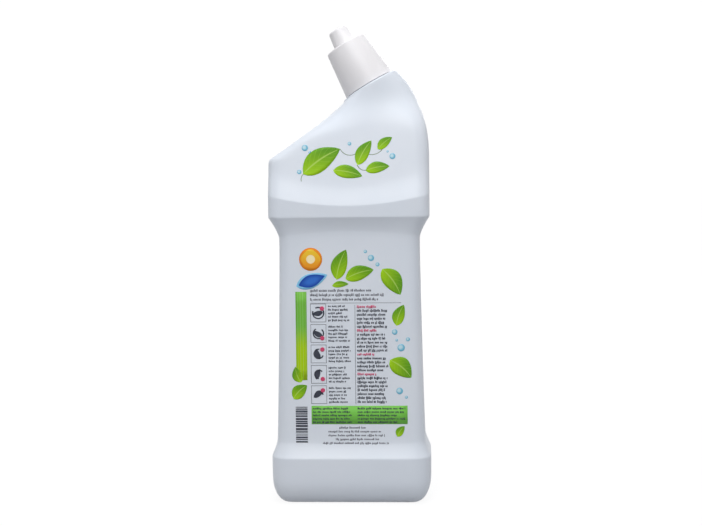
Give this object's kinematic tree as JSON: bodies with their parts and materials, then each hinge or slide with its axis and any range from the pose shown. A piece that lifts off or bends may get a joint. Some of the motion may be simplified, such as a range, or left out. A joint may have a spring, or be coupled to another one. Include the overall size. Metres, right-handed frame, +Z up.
{
  "type": "toilet cleaner bottle",
  "caption": "Tall flat-sided squeeze bottle with a bent neck, a nozzle plugged into it and a screw cap that turns and lifts off along the leaning neck.",
  "frame": {"origin": "middle of the footprint, on the plane that the bottle stands on", "axes": "+X to the right of the printed front, away from the side that the neck leans to; -Y out of the printed front; +Z up"},
  "size_m": [0.0874, 0.055, 0.2612],
  "materials": {
    "body_plastic": "satin",
    "cleaner": "gloss",
    "nozzle_plastic": "satin",
    "foam": "matte",
    "cap_plastic": "satin",
    "leaf_ink": "satin",
    "drop_ink": "satin",
    "badge_ink": "satin",
    "band_ink": "satin",
    "line_ink": "satin"
  },
  "bodies": {
    "bottle": {"bottle": "body_plastic", "cleaner_liquid": "cleaner", "nozzle": "nozzle_plastic", "leaf_print": "leaf_ink", "drop_print": "drop_ink", "badge_print": "badge_ink", "band_print": "band_ink", "line_print": "line_ink"},
    "washer": {"seal_washer": "foam"},
    "cap": {"cap": "cap_plastic"}
  },
  "joints": [
    {"name": "cap_lift", "type": "slide", "parent": "bottle", "child": "washer", "axis": [-0.5, 0, 0.866], "range_m": [0, 0.045]},
    {"name": "cap_turn", "type": "hinge", "parent": "washer", "child": "cap", "pos_m": [0.0115, 0, 0.22787], "axis": [-0.5, 0, 0.866], "range_deg": [0, 720]}
  ]
}
